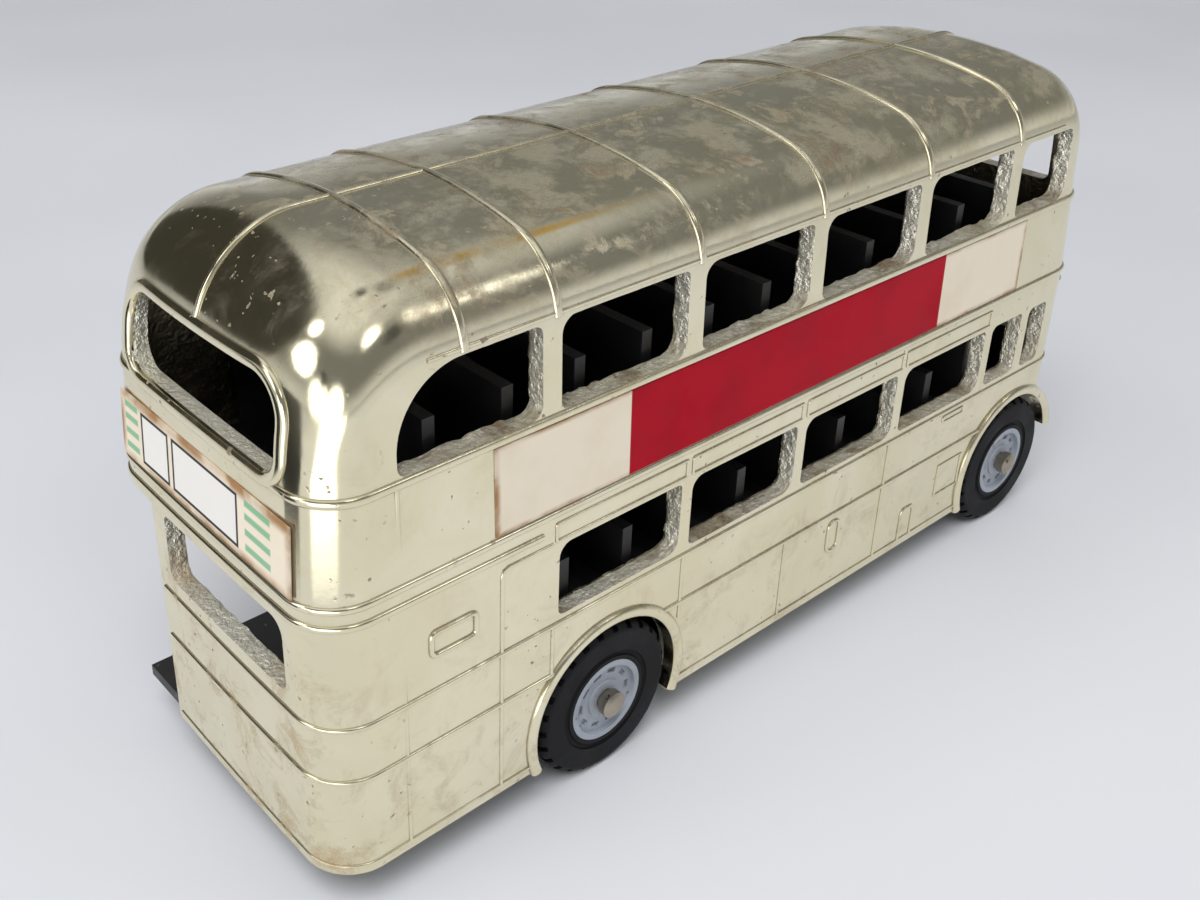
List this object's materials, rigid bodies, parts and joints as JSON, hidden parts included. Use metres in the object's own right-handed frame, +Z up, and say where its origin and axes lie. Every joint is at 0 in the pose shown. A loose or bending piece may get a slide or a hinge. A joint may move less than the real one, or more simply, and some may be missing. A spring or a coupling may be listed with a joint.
{
  "type": "toy double-deck bus",
  "caption": "Plated die-cast toy double-deck bus with a half cab, an open rear platform, plain labels and free-rolling wheels.",
  "frame": {"origin": "on the ground, under the middle of the bus", "axes": "+X to the front of the bus, +Y to its nearside (its left), +Z up"},
  "size_m": [0.1104, 0.0378, 0.058],
  "materials": {
    "plating": "worn, tarnished silver-gold plating",
    "base": "satin black",
    "steel": "dull, browned",
    "seats": "black, slightly shiny",
    "disc": "pale blue-grey",
    "tyre": "satin black",
    "paper": "cream paper with a red field"
  },
  "bodies": {
    "bus": {"body_shell": "plating", "base_plate": "base", "base_rivets": "steel", "upper_deck_seats": "seats", "lower_deck_seats": "seats", "label_offside": "paper", "label_nearside": "paper", "label_rear": "paper", "label_front": "paper"},
    "front_axle_body": {"front_axle": "steel"},
    "rear_axle_body": {"rear_axle": "steel"},
    "wheel_front_offside": {"hub_front_offside": "disc", "tyre_front_offside": "tyre"},
    "wheel_front_nearside": {"hub_front_nearside": "disc", "tyre_front_nearside": "tyre"},
    "wheel_rear_offside": {"hub_rear_offside": "disc", "tyre_rear_offside": "tyre"},
    "wheel_rear_nearside": {"hub_rear_nearside": "disc", "tyre_rear_nearside": "tyre"}
  },
  "joints": [
    {"name": "front_axle_turn", "type": "hinge", "parent": "bus", "child": "front_axle_body", "pos_m": [0.0434, 0, 0.0081], "axis": [0, 1, 0], "continuous": true},
    {"name": "rear_axle_turn", "type": "hinge", "parent": "bus", "child": "rear_axle_body", "pos_m": [-0.024, 0, 0.0081], "axis": [0, 1, 0], "continuous": true},
    {"name": "wheel_front_offside_spin", "type": "hinge", "parent": "front_axle_body", "child": "wheel_front_offside", "pos_m": [0.0434, -0.0151, 0.0081], "axis": [0, 1, 0], "continuous": true},
    {"name": "wheel_front_nearside_spin", "type": "hinge", "parent": "front_axle_body", "child": "wheel_front_nearside", "pos_m": [0.0434, 0.0151, 0.0081], "axis": [0, 1, 0], "continuous": true},
    {"name": "wheel_rear_offside_spin", "type": "hinge", "parent": "rear_axle_body", "child": "wheel_rear_offside", "pos_m": [-0.024, -0.0151, 0.0081], "axis": [0, 1, 0], "continuous": true},
    {"name": "wheel_rear_nearside_spin", "type": "hinge", "parent": "rear_axle_body", "child": "wheel_rear_nearside", "pos_m": [-0.024, 0.0151, 0.0081], "axis": [0, 1, 0], "continuous": true}
  ]
}
